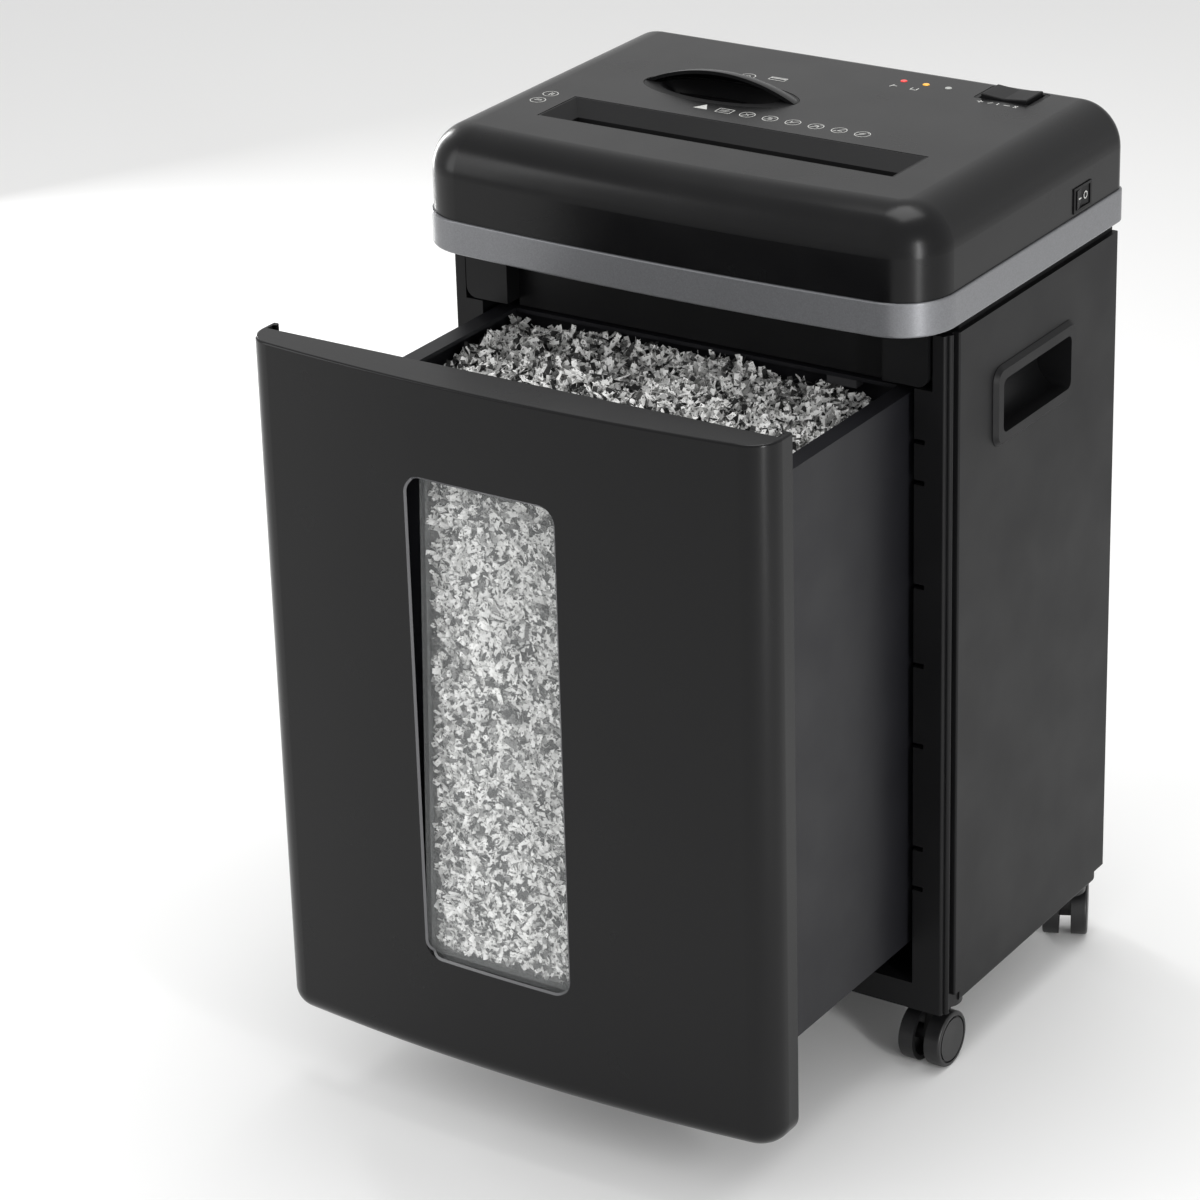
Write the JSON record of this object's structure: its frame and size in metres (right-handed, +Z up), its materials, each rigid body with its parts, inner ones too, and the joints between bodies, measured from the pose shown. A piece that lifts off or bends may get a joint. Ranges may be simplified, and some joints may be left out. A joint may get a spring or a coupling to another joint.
{
  "type": "paper shredder",
  "caption": "Black office paper shredder with a bowed pull-out bin, clear window, silver band, paper and card slots, handle recesses and swivel casters.",
  "frame": {"origin": "on the floor, under the middle of the overall box with the bin pulled out as drawn", "axes": "+X to the right seen from the front, +Y to the back, +Z up"},
  "size_m": [0.356, 0.4418, 0.5794],
  "materials": {
    "black_gloss_abs": "moulded, semi-gloss",
    "black_satin_abs": "moulded, fine satin grain",
    "silver_paint": "metallic silver-grey paint",
    "smoke_clear": "clear polycarbonate",
    "black_rubber": "matt",
    "red_lens": "translucent red",
    "amber_lens": "translucent amber",
    "clear_lens": "translucent, unlit",
    "black_nylon": "moulded nylon, semi-matt",
    "zinc_steel": "zinc plated",
    "cutter_steel": "hardened, ground",
    "bronze": "sintered bronze",
    "white_acetal": "moulded acetal",
    "board_green": "lacquered board with parts",
    "magnet_ferrite": "sintered ferrite"
  },
  "bodies": {
    "cabinet": {"front_frame": "black_satin_abs", "base_tray": "black_satin_abs", "side_panel_left": "black_satin_abs", "side_panel_right": "black_satin_abs", "handle_cup_left": "black_satin_abs", "handle_cup_right": "black_satin_abs", "back_panel": "black_satin_abs", "bin_runners": "black_satin_abs", "head_base": "black_satin_abs", "trim_band": "silver_paint", "head_cover": "black_gloss_abs", "lead_gland": "black_rubber", "paper_throat": "black_satin_abs", "card_throat": "black_satin_abs", "card_cowl": "black_gloss_abs", "overheat_lens": "red_lens", "bin_lens": "amber_lens", "ready_lens": "clear_lens", "function_switch_well": "black_satin_abs", "power_switch_body": "black_satin_abs", "cutter_plate_left": "zinc_steel", "cutter_plate_right": "zinc_steel", "shaft_bushes": "bronze", "tie_rods": "zinc_steel", "stripper_comb_front": "white_acetal", "stripper_comb_rear": "white_acetal", "idler_pin": "zinc_steel", "motor": "zinc_steel", "motor_screws": "zinc_steel", "control_board": "board_green", "paper_sensors": "black_satin_abs", "bin_sensor": "black_satin_abs"},
    "bin": {"bin_shell": "black_satin_abs", "bin_front_panel": "black_gloss_abs", "window_lens": "smoke_clear", "panel_screws": "zinc_steel", "bin_magnet": "magnet_ferrite"},
    "function_rocker": {"function_rocker": "black_satin_abs"},
    "power_rocker": {"power_rocker": "black_satin_abs"},
    "cutter_rear": {"cutter_shaft_rear": "cutter_steel", "cutting_roll_rear": "cutter_steel", "sync_gear_rear": "cutter_steel", "drive_gear": "white_acetal"},
    "cutter_front": {"cutter_shaft_front": "cutter_steel", "cutting_roll_front": "cutter_steel", "sync_gear_front": "cutter_steel"},
    "idler": {"idler_gear": "white_acetal"},
    "motor_rotor": {"motor_pinion": "cutter_steel"},
    "caster_front_right": {"caster_hood_front_right": "black_nylon"},
    "wheels_front_right": {"caster_axle_front_right": "zinc_steel", "caster_wheels_front_right": "black_nylon"},
    "caster_front_left": {"caster_hood_front_left": "black_nylon"},
    "wheels_front_left": {"caster_axle_front_left": "zinc_steel", "caster_wheels_front_left": "black_nylon"},
    "caster_rear_right": {"caster_hood_rear_right": "black_nylon"},
    "wheels_rear_right": {"caster_axle_rear_right": "zinc_steel", "caster_wheels_rear_right": "black_nylon"},
    "caster_rear_left": {"caster_hood_rear_left": "black_nylon"},
    "wheels_rear_left": {"caster_axle_rear_left": "zinc_steel", "caster_wheels_rear_left": "black_nylon"}
  },
  "joints": [
    {"name": "bin_slide", "type": "slide", "parent": "cabinet", "child": "bin", "axis": [0, 1, 0], "range_m": [-0.015, 0.176]},
    {"name": "function_rocker_tilt", "type": "hinge", "parent": "cabinet", "child": "function_rocker", "pos_m": [0.111, 0.18711, 0.561], "axis": [0, 1, 0], "range_deg": [-8, 8]},
    {"name": "power_rocker_tilt", "type": "hinge", "parent": "cabinet", "child": "power_rocker", "pos_m": [0.1725, 0.15311, 0.524], "axis": [0, 0, 1], "range_deg": [-10, 0]},
    {"name": "cutter_rear_spin", "type": "hinge", "parent": "cabinet", "child": "cutter_rear", "pos_m": [0, 0.05611, 0.522], "axis": [1, 0, 0], "continuous": true},
    {"name": "cutter_front_spin", "type": "hinge", "parent": "cabinet", "child": "cutter_front", "pos_m": [0, 0.02611, 0.522], "axis": [1, 0, 0], "continuous": true},
    {"name": "idler_spin", "type": "hinge", "parent": "cabinet", "child": "idler", "pos_m": [0.144, 0.08611, 0.522], "axis": [1, 0, 0], "continuous": true},
    {"name": "motor_spin", "type": "hinge", "parent": "cabinet", "child": "motor_rotor", "pos_m": [0.144, 0.11361, 0.522], "axis": [1, 0, 0], "continuous": true},
    {"name": "swivel_front_right", "type": "hinge", "parent": "cabinet", "child": "caster_front_right", "pos_m": [0.157, 0.02161, 0.041], "axis": [0, 0, 1], "continuous": true},
    {"name": "roll_front_right", "type": "hinge", "parent": "caster_front_right", "child": "wheels_front_right", "pos_m": [0.157, 0.00961, 0.018], "axis": [1, 0, 0], "continuous": true},
    {"name": "swivel_front_left", "type": "hinge", "parent": "cabinet", "child": "caster_front_left", "pos_m": [-0.157, 0.02161, 0.041], "axis": [0, 0, 1], "continuous": true},
    {"name": "roll_front_left", "type": "hinge", "parent": "caster_front_left", "child": "wheels_front_left", "pos_m": [-0.157, 0.00961, 0.018], "axis": [1, 0, 0], "continuous": true},
    {"name": "swivel_rear_right", "type": "hinge", "parent": "cabinet", "child": "caster_rear_right", "pos_m": [0.157, 0.18811, 0.041], "axis": [0, 0, 1], "continuous": true},
    {"name": "roll_rear_right", "type": "hinge", "parent": "caster_rear_right", "child": "wheels_rear_right", "pos_m": [0.15193, 0.19899, 0.018], "axis": [0.9063, 0.4226, 0], "continuous": true},
    {"name": "swivel_rear_left", "type": "hinge", "parent": "cabinet", "child": "caster_rear_left", "pos_m": [-0.157, 0.18811, 0.041], "axis": [0, 0, 1], "continuous": true},
    {"name": "roll_rear_left", "type": "hinge", "parent": "caster_rear_left", "child": "wheels_rear_left", "pos_m": [-0.1529, 0.19939, 0.018], "axis": [0.9397, -0.342, 0], "continuous": true}
  ],
  "couplings": [
    {"joint": "cutter_front_spin", "follows": "cutter_rear_spin", "ratio": -1},
    {"joint": "idler_spin", "follows": "cutter_rear_spin", "ratio": -3},
    {"joint": "motor_spin", "follows": "cutter_rear_spin", "ratio": 12}
  ]
}
